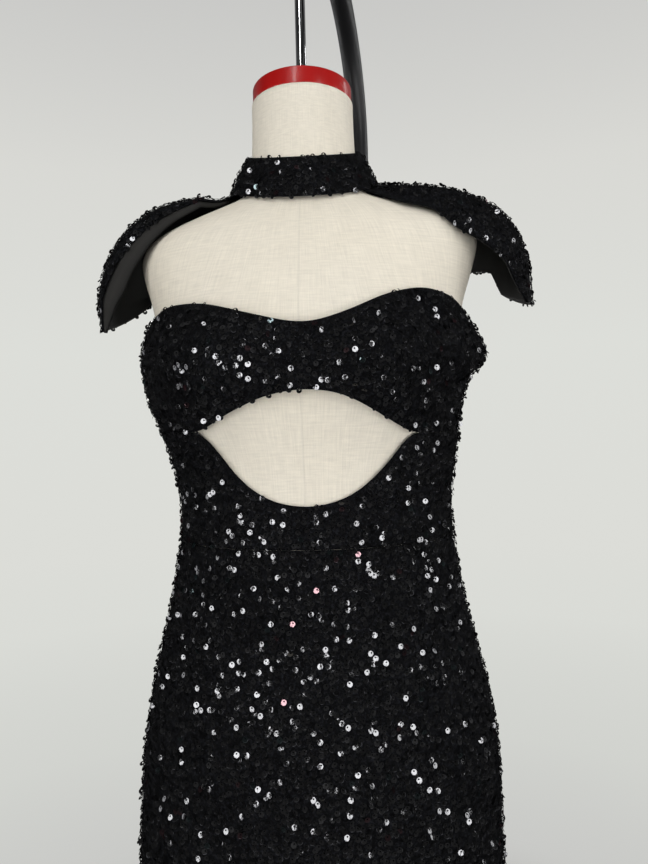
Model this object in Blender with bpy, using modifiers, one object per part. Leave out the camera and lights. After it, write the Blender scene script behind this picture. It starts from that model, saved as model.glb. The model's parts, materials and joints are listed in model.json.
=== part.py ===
"""A black sequinned mermaid gown on a limbless linen dress form that hangs from a gooseneck stand.

Metres, +Z up. The front faces -Y and the origin is on the floor, on the form's upright axis.
Heights are above the floor. Angles round the body are in degrees, 0 at centre front, 90 at +X.
Every piece of cloth is a wall along sections that the tables below give. At each seam the outer
faces of two pieces are SEAM apart, and their inner faces come to 0.3 mm of each other.
"""
import math

import bmesh
import bpy
from mathutils import Vector

MM = 0.001

# ---------------------------------------------------------------- driving dimensions
CLOTH = 1.6 * MM            # sequin cloth on its velvet base
LINING = 1.0 * MM
SEAM = 0.5 * MM
GAP = 0.3 * MM              # between two hard pieces that rest on each other
HEM_HEIGHT = 20 * MM
WAIST_HEIGHT = 1056 * MM
BACK_TOP = 1256 * MM        # straight top edge of the bodice's back
SIDE_SEAM = 90              # degrees round from centre front

BUST_ACROSS = 76 * MM       # middle of each cup, from the form's middle
BUST_HEIGHT = 1206 * MM
BUST_SPREAD = Vector((46 * MM, 44 * MM))    # how far a cup reaches, sideways and upwards
FORM_CUP = 26 * MM          # how far a cup stands out of the form's section
GOWN_CUP = 24 * MM

COLLAR_LOW = dict(radius=64.5 * MM, height=1391 * MM, tilt=0.48)
COLLAR_HIGH = dict(radius=55.0 * MM, height=1423 * MM, tilt=0.44)
COLLAR_CENTRE = 4 * MM      # the neck's axis lies this far behind the form's
COLLAR_BULGE = 2.5 * MM
COLLAR_FLARE = 6 * MM       # its lower edge stands out this much more at the sides
COLLAR_BACK_OPENING = 1.2   # degrees each side of centre back

SHOULDER_NEAR = 45 * MM     # a shoulder runs from this far out of the form's middle
SHOULDER_FAR = 160 * MM     # to this far
SHOULDER_LIFT = 14 * MM     # the form's right shoulder is this much higher than its left one
SHOULDER_REACH = 5 * MM     # and this much longer
SHOULDER_FOOT = 1275 * MM   # where that begins, and over what height it grows
SHOULDER_GROWTH = 45 * MM
NECK_FOOT = 1375 * MM       # where the neck begins, and over what height it is straight again
NECK_GROWTH = 20 * MM
FORM_TOP = 1468 * MM
CAP_RADIUS = 47.5 * MM
CAP_THICKNESS = 16 * MM
ROD_RADIUS = 5 * MM
ROD_TOP = 1584 * MM
TUBE_RADIUS = 13.3 * MM
AXIS = Vector((0, 0, 0))
POLE_PLACE = Vector((57 * MM, 303 * MM, 0))
BEND_START = 1560 * MM      # the tube leaves the upright here
TUBE_END = 1597 * MM        # and ends here, pointing down at the form's rod
TUBE_MOUTH = 12 * MM        # straight part above that end
SOCKET_RADIUS = 22 * MM
SOCKET_HEIGHT = 32 * MM
BASE_LENGTH = 580 * MM
BASE_WIDTH = 420 * MM
BASE_THICKNESS = 10 * MM
BASE_CORNER = 60 * MM
BASE_FORWARD = 90 * MM      # from the form's axis to the plate's middle, towards the pole


class Table:
    """Rows of sizes under named columns, read between the rows as a smooth curve."""

    def __init__(self, names, *rows):
        self.keys = [row[0] for row in rows]
        self.columns = {}
        for place, name in enumerate(names.split()):
            self.columns[name] = [row[place] for row in rows]

    def slope(self, values, place):
        """Slope of the curve at a row: level at a peak, so that no curve overshoots."""
        before = max(place - 1, 0)
        after = min(place + 1, len(values) - 1)
        steps = []
        for low, high in ((before, place), (place, after)):
            if high > low:
                steps.append((values[high] - values[low]) / (self.keys[high] - self.keys[low]))
        if len(steps) == 1:
            return steps[0]
        if steps[0] * steps[1] <= 0:
            return 0.0
        return 2 * steps[0] * steps[1] / (steps[0] + steps[1])

    def read(self, name, key):
        values = self.columns[name]
        if key <= self.keys[0]:
            return values[0]
        if key >= self.keys[-1]:
            return values[-1]
        place = max(i for i, row_key in enumerate(self.keys) if row_key <= key)
        span = self.keys[place + 1] - self.keys[place]
        t = (key - self.keys[place]) / span
        first, last = values[place], values[place + 1]
        leave = self.slope(values, place) * span
        arrive = self.slope(values, place + 1) * span
        return (first * (1 + 2 * t) * (1 - t) ** 2 + leave * t * (1 - t) ** 2
                + last * t * t * (3 - 2 * t) - arrive * t * t * (1 - t))


# ---------------------------------------------------------------- tables, in millimetres
FORM = Table(
    "height side front back",
    (664, 150, 84, 96),
    (672, 160, 92, 106),
    (700, 166, 99, 113),
    (760, 169.5, 105, 121),
    (820, 167, 108, 126),
    (880, 161, 105, 124),
    (940, 149, 98, 109),
    (1000, 133, 92, 91),
    (1055, 124.6, 89, 81.5),
    (1095, 123.8, 88.2, 80.5),
    (1115, 125.8, 89, 82),
    (1140, 131.5, 92, 85),
    (1180, 141.5, 100, 91),
    (1210, 146, 107, 96),
    (1245, 145.5, 105, 101),
    (1270, 147.5, 99, 103),
    (1295, 156, 90, 101),
    (1314, 160.5, 82, 97),
    (1325, 160, 77.5, 92),
    (1334, 156, 73, 88),
    (1342, 147, 68.5, 85),
    (1349, 134, 64.5, 82),
    (1357, 115, 58.5, 78),
    (1365, 93, 52.5, 73),
    (1373, 70, 47.5, 68),
    (1380, 58, 47, 63),
    (1395, 52, 48.5, 57),
    (1420, 50, 48.5, 51.5),
    (1450, 49, 49, 49),
    (1468, 49, 49, 49),
)

GOWN = Table(
    "height left right front back",
    (20, 300, 296, 262, 236),
    (110, 268, 264, 222, 206),
    (200, 228, 225, 184, 170),
    (280, 193, 191, 151, 140),
    (350, 168, 167, 126, 118),
    (420, 155, 154, 110, 106),
    (500, 154, 153.5, 106, 104),
    (600, 163, 162, 108, 110),
    (700, 172.5, 172, 109.5, 119),
    (760, 174.0, 173.5, 111, 125.5),
    (820, 170.0, 173.0, 112.5, 130.5),
    (880, 164.2, 169.8, 110, 128.5),
    (940, 152.0, 157.0, 104, 114),
    (1000, 136.2, 141.0, 97, 96),
    (1055, 126.8, 134.5, 91.6, 84.5),
    (1090, 126.3, 133.0, 91, 83),
    (1130, 133.5, 138.5, 95, 87),
    (1160, 144.0, 142.0, 102, 92),
    (1185, 154.0, 146.0, 111, 96.5),
    (1202, 158.0, 150.5, 115, 100),
    (1213, 159.0, 165.5, 116, 102),
    (1224, 159.8, 170.5, 116, 104),
    (1238, 159.0, 164.0, 115, 106.5),
    (1250, 155.5, 156.5, 112.5, 108),
    (1262, 150.0, 151.0, 109, 109),
    (1280, 148.0, 150.0, 103, 109),
)

# The neckline, and the two edges of the eye-shaped cut-out, which meet at its corners. Beyond
# them the upper and the lower edge run on at one height, as the short seams to the side seams.
NECKLINE = Table(
    "angle height",
    (-90, 1256),
    (-74, 1258),
    (-50, 1267),
    (-34, 1264),
    (-15, 1251.5),
    (2, 1242),
    (15, 1251),
    (30, 1267),
    (45, 1274.5),
    (60, 1271),
    (74, 1262),
    (90, 1256),
)
CUTOUT = Table(
    "angle upper lower",
    (-36.5, 1156.5, 1156.5),
    (-29, 1165, 1125),
    (-19, 1175, 1104.5),
    (-10, 1184, 1095.5),
    (1, 1188.5, 1092),
    (12, 1185, 1096),
    (21, 1175, 1106),
    (31, 1162, 1127),
    (40, 1151.5, 1151.5),
)

# Flutes of the skirt below the knee: where the ridge runs, how far it stands out at the hem.
FLUTES = Table(
    "ridge depth width",
    (-158, 20, 15),
    (-113, 26, 14),
    (-68, 23, 14),
    (-30, 27, 13),
    (4, 21, 13),
    (38, 26, 13),
    (70, 22, 13),
    (112, 26, 14),
    (157, 21, 15),
)
FLUTE_TOP = 440             # height where the flutes run out
FLUTE_MEAN = 12             # taken off the stand-outs, so that the hem keeps its mean section

# The two caps over the shoulders, a row for each rib from beside the collar to the lower edge.
# A rib bows from its front point over the crest to its back point: 1 is an ellipse, 0 straight.
WING_COLUMNS = "rib bow crest_x crest_y crest_z front_x front_y front_z back_x back_y back_z"
WING_LEFT = Table(
    WING_COLUMNS,
    (1, 1.0, -96, 12, 1381, -94, -36, 1371, -22, 102.5, 1345),
    (2, 1.0, -134, 12, 1376, -124, -43, 1356, -44, 104, 1256.4),
    (3, 1.0, -160, 12, 1363, -146, -45, 1341, -84, 91, 1256.4),
    (4, 1.0, -182, 12, 1340, -165, -45, 1321, -112, 86, 1270),
    (5, 0.85, -197, 10, 1310, -178.5, -44, 1299, -139, 81, 1298),
    (6, 0.6, -203, 8, 1285, -187, -42, 1277, -158, 70, 1308),
    (7, 0.4, -200, 4, 1260, -189, -36, 1252, -171, 56, 1294),
)
WING_RIGHT = Table(
    WING_COLUMNS,
    (1, 1.0, 97, 10, 1386, 91.5, -50.6, 1356, 22, 102.5, 1345),
    (2, 1.0, 130, 12, 1384, 116, -50, 1350, 44, 104, 1256.4),
    (3, 1.0, 160, 12, 1376, 140, -50, 1331, 84, 91, 1256.4),
    (4, 1.0, 186, 12, 1361, 160, -48, 1319, 114, 87, 1272),
    (5, 0.85, 206, 10, 1334, 180, -44, 1303, 150, 84, 1318),
    (6, 0.6, 214, 6, 1305, 190, -40, 1285, 184, 68, 1322),
    (7, 0.4, 215, 4, 1271, 203, -30, 1267, 198, 52, 1292),
)
# A cap leaves the collar between these angles, and falls away from it the more steeply the
# larger its fall is.
LEFT_ROOT = dict(front=-78, back=-178, fall=1.6)
RIGHT_ROOT = dict(front=58, back=178, fall=1.0)


# ---------------------------------------------------------------- sections
def bust(x, height, stand_out):
    """How far the two cups stand out of a section, at a place across and a height."""
    across = (abs(x) - BUST_ACROSS) / BUST_SPREAD.x
    up = (height - BUST_HEIGHT) / BUST_SPREAD.y
    return stand_out * math.exp(-across * across - up * up)


def ring_point(angle, height, left, right, front, back, cups):
    """A point of a level section with its own reach to each side, front and back."""
    turn = math.radians(angle)
    across, ahead = math.sin(turn), math.cos(turn)
    x = across * (right if across > 0 else left)
    y = -ahead * (front if ahead > 0 else back)
    if ahead > 0:
        y -= bust(x, height, cups) * min(1.0, ahead * 3)
    return Vector((x, y, height))


def ease(share):
    """A soft step from 0 to 1."""
    share = min(max(share, 0.0), 1.0)
    return share * share * (3 - 2 * share)


def form_point(angle, height):
    side, front, back = [FORM.read(name, height / MM) * MM for name in ("side", "front", "back")]
    point = ring_point(angle, height, side, side, front, back, FORM_CUP)
    shoulder = (ease((height - SHOULDER_FOOT) / SHOULDER_GROWTH)
                * (1 - ease((height - NECK_FOOT) / NECK_GROWTH)))
    outwards = (point.x - SHOULDER_NEAR) / (SHOULDER_FAR - SHOULDER_NEAR)
    raised = shoulder * max(0.0, outwards) ** 1.3
    return point + Vector((SHOULDER_REACH, 0, SHOULDER_LIFT)) * raised


def flute(angle, height):
    """Stand-out of the skirt's flutes: none at the knee, full at the hem."""
    fullness = ease(1 - height / MM / FLUTE_TOP)
    total = 0.0
    for ridge, depth, width in zip(*FLUTES.columns.values()):
        away = (angle - ridge + 180) % 360 - 180
        total += depth * math.exp(-(away / width) ** 2)
    return (total - FLUTE_MEAN) * MM * fullness


def gown_point(angle, height):
    """A point of the outer face of the gown's cloth."""
    names = ("left", "right", "front", "back")
    left, right, front, back = [GOWN.read(name, height / MM) * MM for name in names]
    turn = math.radians(angle)
    outwards = Vector((math.sin(turn), -math.cos(turn), 0))
    return (ring_point(angle, height, left, right, front, back, GOWN_CUP)
            + outwards * flute(angle, height))


def collar_point(angle, up):
    """A point of the collar's outer face, from its lower edge (0) to its upper edge (1)."""
    turn = math.radians(angle)
    radius = COLLAR_LOW["radius"] * (1 - up) + COLLAR_HIGH["radius"] * up
    radius += COLLAR_BULGE * math.sin(math.pi * up)
    radius += COLLAR_FLARE * (math.sin(turn) * (1 - up)) ** 2
    y = -math.cos(turn) * radius + COLLAR_CENTRE
    low = COLLAR_LOW["height"] + COLLAR_LOW["tilt"] * y
    high = COLLAR_HIGH["height"] + COLLAR_HIGH["tilt"] * y
    return Vector((math.sin(turn) * radius, y, low * (1 - up) + high * up))


def rib_point(wing, rib, along):
    """A point of a cap's rib: along runs from the front edge (-1) over the crest (0) to 1."""
    crest = Vector([wing.read("crest_" + axis, rib) for axis in "xyz"]) * MM
    side = "front_" if along < 0 else "back_"
    edge = Vector([wing.read(side + axis, rib) for axis in "xyz"]) * MM
    bow = wing.read("bow", rib)
    straight = abs(along) * (1 - bow)
    turn = abs(along) * math.pi / 2
    reach = edge - crest
    fall = straight + bow * (1 - math.cos(turn))
    level = straight + bow * math.sin(turn)
    return crest + Vector((reach.x * fall, reach.y * level, reach.z * fall))


def wing_point(side, rib, along):
    """A point of a shoulder cap: rib 0 is the collar's lower edge, which rib 1 falls away from."""
    wing, start = (WING_LEFT, LEFT_ROOT) if side == "left" else (WING_RIGHT, RIGHT_ROOT)
    if rib >= 1:
        return rib_point(wing, rib, along)
    angle = start["front"] + (start["back"] - start["front"]) * (along + 1) / 2
    root = collar_point(angle, 0) - Vector((0, 0, SEAM))
    reach = rib_point(wing, 1, along) - root
    out = rib ** start["fall"]
    down = 1 - (1 - rib) ** start["fall"]
    return root + Vector((reach.x * out, reach.y * out, reach.z * down))


def neckline(angle):
    return NECKLINE.read("height", angle) * MM


def cutout_top(angle):
    return CUTOUT.read("upper", angle) * MM


def cutout_bottom(angle):
    return CUTOUT.read("lower", angle) * MM


def back_top(angle):
    return BACK_TOP


def waist(angle):
    return WAIST_HEIGHT


def hem(angle):
    return HEM_HEIGHT


# ---------------------------------------------------------------- making objects
def material(name, colour, roughness, metallic=0.0):
    made = bpy.data.materials.new(name)
    made.use_nodes = True
    shader = made.node_tree.nodes["Principled BSDF"]
    shader.inputs["Base Color"].default_value = (*colour, 1)
    shader.inputs["Roughness"].default_value = roughness
    shader.inputs["Metallic"].default_value = metallic
    return made


def add_object(name, data, paint):
    made = bpy.data.objects.new(name, data)
    made.data.materials.append(paint)
    bpy.data.collections["mermaid_gown"].objects.link(made)
    return made


def loft(name, rows, paint, closed=False, caps=False):
    """A surface through rows of points, each row from left to right and the rows going up."""
    shape = bmesh.new()
    lines = [[shape.verts.new(point) for point in row] for row in rows]
    width = len(rows[0])
    for lower, upper in zip(lines, lines[1:]):
        for place in range(width if closed else width - 1):
            after = (place + 1) % width
            shape.faces.new((lower[place], lower[after], upper[after], upper[place]))
    if caps:
        shape.faces.new(list(reversed(lines[0])))
        shape.faces.new(lines[-1])
    data = bpy.data.meshes.new(name)
    shape.to_mesh(data)
    shape.free()
    made = add_object(name, data, paint)
    data.shade_smooth()
    return made


def thicken(sheet, thickness):
    """Give a sheet its wall, inwards from the face that the rows describe."""
    wall = sheet.modifiers.new("wall", "SOLIDIFY")
    wall.thickness = thickness
    wall.offset = -1
    wall.use_even_offset = True
    return sheet


def spread(count):
    """Even fractions from 0 to 1."""
    return [step / count for step in range(count + 1)]


# ---------------------------------------------------------------- the gown
def panel(name, start, end, edges, columns, rows, paint):
    """A body panel between two angles. Each of the edges gives a height at an angle, from the
    lowest edge up, and rows holds the number of rows between each edge and the next."""
    lines = []
    for step in range(sum(rows) + 1):
        band = 0
        while step > sum(rows[:band + 1]):
            band += 1
        up = (step - sum(rows[:band])) / rows[band]
        line = []
        for across in spread(columns):
            angle = start + (end - start) * across
            bottom, top = edges[band](angle), edges[band + 1](angle)
            bottom += SEAM / 2 if band == 0 else 0
            top -= SEAM / 2 if band == len(rows) - 1 else 0
            height = bottom + (top - bottom) * up
            radius = gown_point(angle, height).xy.length
            inset = math.degrees(SEAM / 2 / radius) * (1 - 2 * across)
            line.append(gown_point(angle + inset, height))
        lines.append(line)
    return thicken(loft(name, lines, paint), CLOTH)


def make_bodice(cloth):
    def right_seam(angle):
        return cutout_top(SIDE_SEAM)

    def left_seam(angle):
        return cutout_top(-SIDE_SEAM)

    panel("bust_band", -SIDE_SEAM, SIDE_SEAM, (cutout_top, neckline), 32, (8,), cloth)
    panel("midriff", -SIDE_SEAM, SIDE_SEAM, (waist, cutout_bottom), 32, (6,), cloth)
    panel("bodice_back_right", SIDE_SEAM, 180, (waist, right_seam, back_top), 12, (6, 8), cloth)
    panel("bodice_back_left", 180, 360 - SIDE_SEAM, (waist, left_seam, back_top), 12, (6, 8),
          cloth)


def make_skirt(cloth):
    panel("skirt_front", -SIDE_SEAM, SIDE_SEAM, (hem, waist), 32, (22,), cloth)
    panel("skirt_back_right", SIDE_SEAM, 180, (hem, waist), 16, (22,), cloth)
    panel("skirt_back_left", 180, 360 - SIDE_SEAM, (hem, waist), 16, (22,), cloth)


def make_collar(cloth):
    start = COLLAR_BACK_OPENING - 180
    rows = []
    for up in spread(3):
        rows.append([collar_point(start * (1 - 2 * across), up) for across in spread(40)])
    thicken(loft("collar", rows, cloth), CLOTH)


def moved(rows, distance):
    """The same rows of points, moved along the surface's outward normals."""
    result = []
    for up, row in enumerate(rows):
        below, above = rows[max(up - 1, 0)], rows[min(up + 1, len(rows) - 1)]
        line = []
        for across, point in enumerate(row):
            before, after = max(across - 1, 0), min(across + 1, len(row) - 1)
            normal = (row[after] - row[before]).cross(above[across] - below[across])
            line.append(point + normal.normalized() * distance)
        result.append(line)
    return result


def make_wing(side, cloth, lining):
    """A shoulder cap from the collar to its lower edge, with the lining inside it."""
    ribs = [0, 0.2, 0.45, 0.7] + [1 + step * 0.5 for step in range(13)]
    rows = []
    for rib in ribs:
        line = [wing_point(side, rib, 2 * share - 1) for share in spread(16)]
        rows.append(line if side == "left" else line[::-1])
    thicken(loft("wing_" + side, rows, cloth), CLOTH)
    inside = moved(rows, -CLOTH - 1.5 * SEAM)[4:]
    kept = [line[:13] if side == "left" else line[4:] for line in inside]
    thicken(loft("wing_lining_" + side, kept, lining), LINING)


# ---------------------------------------------------------------- the form and its stand
def make_form(linen, red):
    heights = [row * MM for row in FORM.columns["height"]]
    rows = [[form_point(360 * step / 32, height) for step in range(32)] for height in heights]
    loft("form_torso", rows, linen, closed=True, caps=True)
    turned("neck_cap", ((0, 0), (0.94, 0), (1, 0.12), (1, 0.88), (0.94, 1), (0, 1)),
           CAP_RADIUS, FORM_TOP + GAP, CAP_THICKNESS, AXIS, red)


def turned(name, profile, radius, bottom, height, place, paint, steps=32):
    """A turned solid: the profile gives fractions of the radius and of the height."""
    shape = bmesh.new()
    points = [shape.verts.new((across * radius, 0, bottom + up * height))
              for across, up in reversed(profile)]
    for first, second in zip(points, points[1:]):
        shape.edges.new((first, second))
    data = bpy.data.meshes.new(name)
    shape.to_mesh(data)
    shape.free()
    made = add_object(name, data, paint)
    made.location = place
    spin = made.modifiers.new("turn", "SCREW")
    spin.steps = steps
    spin.render_steps = steps
    spin.use_merge_vertices = True
    spin.merge_threshold = 0.00005
    return made


def gooseneck_points():
    """Middle line of the stand's tube: up from the base, then over towards the form's rod."""
    level = POLE_PLACE.normalized()
    radius = POLE_PLACE.length / 2
    points = [POLE_PLACE + Vector((0, 0, BASE_THICKNESS + GAP)),
              POLE_PLACE + Vector((0, 0, BEND_START * 0.5))]
    top = BEND_START + radius
    for share in spread(14):
        turn = math.pi * share
        foot = BEND_START if share < 0.5 else TUBE_END + TUBE_MOUTH
        rise = foot + (top - foot) * math.sin(turn)
        points.append(level * radius * (1 + math.cos(turn)) + Vector((0, 0, rise)))
    return points + [Vector((0, 0, TUBE_END))]


def make_stand(black, chrome):
    curve = bpy.data.curves.new("gooseneck", "CURVE")
    curve.dimensions = "3D"
    curve.bevel_depth = TUBE_RADIUS
    curve.bevel_resolution = 3
    curve.use_fill_caps = True
    points = gooseneck_points()
    line = curve.splines.new("POLY")
    line.points.add(len(points) - 1)
    for knot, point in zip(line.points, points):
        knot.co = (*point, 1)
    add_object("gooseneck", curve, black)
    flat = ((0, 0), (1, 0), (1, 1), (0, 1))
    rod_foot = FORM_TOP + CAP_THICKNESS + 2 * GAP
    turned("hanging_rod", flat, ROD_RADIUS, rod_foot, ROD_TOP - rod_foot, AXIS, chrome, 16)
    turned("rod_coupling", ((0, 0), (0.7, 0), (1, 0.3), (1, 1), (0, 1)), TUBE_RADIUS,
           ROD_TOP + GAP, TUBE_END - ROD_TOP - 2 * GAP, AXIS, chrome, 24)
    inner = (TUBE_RADIUS + GAP) / SOCKET_RADIUS
    turned("pole_socket", ((inner, 0), (1, 0), (1, 0.8), (0.86, 1), (inner, 1), (inner, 0)),
           SOCKET_RADIUS, BASE_THICKNESS + GAP, SOCKET_HEIGHT, POLE_PLACE, black)
    make_base(black)


def make_base(black):
    bpy.ops.mesh.primitive_cube_add(size=1)
    base = bpy.context.object
    base.name = "base_plate"
    base.data.name = "base_plate"
    for corner in base.data.vertices:
        corner.co = (corner.co.x * BASE_WIDTH, corner.co.y * BASE_LENGTH,
                     corner.co.z * BASE_THICKNESS)
    base.rotation_euler.z = math.atan2(-POLE_PLACE.x, POLE_PLACE.y)
    middle = POLE_PLACE.normalized() * BASE_FORWARD
    base.location = (middle.x, middle.y, BASE_THICKNESS / 2)
    base.data.materials.append(black)
    upright = base.modifiers.new("corners", "BEVEL")
    upright.width = BASE_CORNER
    upright.segments = 6
    upright.limit_method = "WEIGHT"
    weights = base.data.attributes.new("bevel_weight_edge", "FLOAT", "EDGE")
    for edge in base.data.edges:
        ends = [base.data.vertices[corner].co for corner in edge.vertices]
        weights.data[edge.index].value = float(abs(ends[0].z - ends[1].z) > BASE_THICKNESS / 2)
    for home in base.users_collection:
        home.objects.unlink(base)
    bpy.data.collections["mermaid_gown"].objects.link(base)


def main():
    for old in list(bpy.data.objects):
        bpy.data.objects.remove(old, do_unlink=True)
    bpy.context.scene.collection.children.link(bpy.data.collections.new("mermaid_gown"))
    cloth = material("sequin cloth", (0.008, 0.008, 0.010), 0.35)
    lining = material("black lining", (0.030, 0.029, 0.027), 0.55)
    linen = material("cream linen", (0.82, 0.77, 0.68), 0.85)
    red = material("red lacquer", (0.40, 0.012, 0.010), 0.2)
    black = material("black lacquered steel", (0.012, 0.012, 0.013), 0.35)
    chrome = material("chrome", (0.75, 0.76, 0.78), 0.12, 1.0)
    make_bodice(cloth)
    make_skirt(cloth)
    make_collar(cloth)
    make_wing("left", cloth, lining)
    make_wing("right", cloth, lining)
    make_form(linen, red)
    make_stand(black, chrome)


main()
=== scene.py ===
"""A black sequinned mermaid gown on a limbless linen dress form that hangs from a gooseneck stand.

Metres, +Z up, front towards -Y. Each piece of cloth is a thin sheet on the form of its own solid,
with its creases, and the sequins are sewn over it as a piece or two for each panel.
"""
import json
import math

import bpy
from bpy.props import FloatProperty, FloatVectorProperty, IntProperty, PointerProperty
from mathutils import Matrix, Vector
from mathutils.bvhtree import BVHTree
from mathutils.kdtree import KDTree

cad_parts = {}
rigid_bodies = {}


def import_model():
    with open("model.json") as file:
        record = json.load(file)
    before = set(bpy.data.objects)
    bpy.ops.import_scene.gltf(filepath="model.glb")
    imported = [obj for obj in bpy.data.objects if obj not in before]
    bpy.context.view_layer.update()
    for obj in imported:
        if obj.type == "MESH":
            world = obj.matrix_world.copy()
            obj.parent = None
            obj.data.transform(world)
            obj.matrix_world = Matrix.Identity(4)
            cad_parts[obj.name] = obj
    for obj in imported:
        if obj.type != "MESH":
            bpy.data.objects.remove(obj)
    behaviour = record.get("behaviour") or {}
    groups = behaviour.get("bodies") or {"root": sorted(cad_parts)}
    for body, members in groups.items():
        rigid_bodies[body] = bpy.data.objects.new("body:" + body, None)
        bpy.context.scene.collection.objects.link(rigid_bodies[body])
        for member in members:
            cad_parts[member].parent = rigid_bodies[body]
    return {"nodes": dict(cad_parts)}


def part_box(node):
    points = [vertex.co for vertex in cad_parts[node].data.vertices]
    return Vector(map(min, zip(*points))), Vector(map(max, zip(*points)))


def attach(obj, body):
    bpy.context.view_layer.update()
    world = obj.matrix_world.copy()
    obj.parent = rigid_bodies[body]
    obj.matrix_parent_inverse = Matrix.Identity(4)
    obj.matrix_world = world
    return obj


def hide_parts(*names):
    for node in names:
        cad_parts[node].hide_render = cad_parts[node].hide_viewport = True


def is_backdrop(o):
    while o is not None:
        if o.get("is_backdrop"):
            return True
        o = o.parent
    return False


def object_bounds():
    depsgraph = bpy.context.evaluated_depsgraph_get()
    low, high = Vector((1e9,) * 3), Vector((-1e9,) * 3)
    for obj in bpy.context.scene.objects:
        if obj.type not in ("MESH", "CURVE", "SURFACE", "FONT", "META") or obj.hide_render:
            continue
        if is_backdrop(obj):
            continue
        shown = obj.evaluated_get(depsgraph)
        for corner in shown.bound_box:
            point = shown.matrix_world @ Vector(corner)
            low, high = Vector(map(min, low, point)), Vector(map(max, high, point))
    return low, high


bl_info = {
    "name": "Sequinned Mermaid Gown",
    "version": (1, 0, 0),
    "blender": (4, 5, 0),
    "location": "3D View > Sidebar > Gown",
    "description": "Sews a sequinned mermaid gown and stands it on a linen dress form",
    "category": "Object",
}

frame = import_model()
SOLIDS = frame["nodes"]
SOLID_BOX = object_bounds()
MM = 0.001


class Table:
    """Rows of sizes under named columns, read between the rows as a smooth curve."""

    def __init__(self, names, *rows):
        self.keys = [row[0] for row in rows]
        self.names = names.split()
        self.rows = rows
        self.columns = {name: [row[i] for row in rows] for i, name in enumerate(self.names)}

    def __iter__(self):
        return (dict(zip(self.names, row)) for row in self.rows)

    def slope(self, values, place):
        before, after = max(place - 1, 0), min(place + 1, len(values) - 1)
        steps = []
        for low, high in ((before, place), (place, after)):
            if high > low:
                steps.append((values[high] - values[low]) / (self.keys[high] - self.keys[low]))
        if len(steps) == 1:
            return steps[0]
        if steps[0] * steps[1] <= 0:
            return 0.0
        return 2 * steps[0] * steps[1] / (steps[0] + steps[1])

    def read(self, name, key):
        values = self.columns[name]
        if key <= self.keys[0]:
            return values[0]
        if key >= self.keys[-1]:
            return values[-1]
        place = max(i for i, row_key in enumerate(self.keys) if row_key <= key)
        span = self.keys[place + 1] - self.keys[place]
        t = (key - self.keys[place]) / span
        leave = self.slope(values, place) * span
        arrive = self.slope(values, place + 1) * span
        return (values[place] * (1 + 2 * t) * (1 - t) ** 2 + leave * t * (1 - t) ** 2
                + values[place + 1] * t * t * (3 - 2 * t) - arrive * t * t * (1 - t))


# ---- the pieces' tables
# A panel's cloth: where its outer face looks, and its flat cut in metres.
PANELS = Table(
    "node ahead_x ahead_y ahead_z width length area",
    ("bust_band", 0, -1, 0, 0.50, 0.13, 0.0459),
    ("midriff", 0.6, -1, 0, 0.47, 0.11, 0.0277),
    ("bodice_back_right", 0.5, 1, 0, 0.23, 0.20, 0.0387),
    ("bodice_back_left", -0.5, 1, 0, 0.23, 0.20, 0.0378),
    ("skirt_front", 0, -1, 0, 0.95, 1.06, 0.5443),
    ("skirt_back_right", 0.5, 1, 0, 0.46, 1.06, 0.2688),
    ("skirt_back_left", -0.5, 1, 0, 0.46, 1.06, 0.2688),
    ("collar", 0, -1, 0, 0.39, 0.036, 0.0129),
)

# Soft creases of the body: angle round from centre front, height, half length, tilt from level,
# half width and stand-out (a trough is negative). Degrees and millimetres.
CREASES = Table(
    "angle height reach tilt width depth",
    (-62, 1092, 60, 18, 9, -1.6),
    (-48, 1074, 70, 10, 8, 1.2),
    (58, 1086, 62, -22, 9, -1.7),
    (44, 1070, 55, -12, 8, 1.1),
    (-30, 1036, 90, 6, 10, -1.2),
    (36, 1030, 80, -8, 10, -1.3),
    (0, 1012, 110, 2, 12, 0.9),
    (-55, 985, 85, 24, 12, -1.5),
    (60, 972, 90, -28, 12, -1.6),
    (-20, 905, 120, 14, 16, 1.2),
    (28, 880, 120, -18, 16, -1.2),
    (-64, 840, 100, 40, 14, -1.4),
    (66, 820, 110, -36, 14, -1.6),
    (74, 1216, 34, 6, 7, 2.4),
    (66, 1196, 40, -24, 7, -1.8),
    (-74, 1206, 40, 20, 8, -1.5),
    (-58, 1236, 40, -14, 9, 1.1),
    (8, 1228, 60, 4, 9, -1.1),
    (-46, 560, 150, 74, 18, -2.2),
    (-12, 520, 170, 84, 20, 2.0),
    (20, 540, 160, 96, 18, -2.2),
    (54, 565, 150, 108, 18, -2.0),
    (118, 1090, 70, -16, 9, -1.6),
    (142, 1072, 60, 10, 9, 1.2),
    (-120, 1088, 66, 18, 9, -1.7),
    (-146, 1066, 60, -8, 9, 1.1),
    (168, 1010, 90, 3, 12, -1.2),
    (-158, 960, 90, 22, 12, -1.4),
    (134, 948, 90, -24, 12, -1.4),
    (-128, 720, 120, 48, 16, -1.6),
    (126, 700, 120, -44, 16, -1.6),
    (-160, 560, 150, 80, 18, -2.0),
    (160, 540, 150, 98, 18, -2.0),
)

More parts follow.
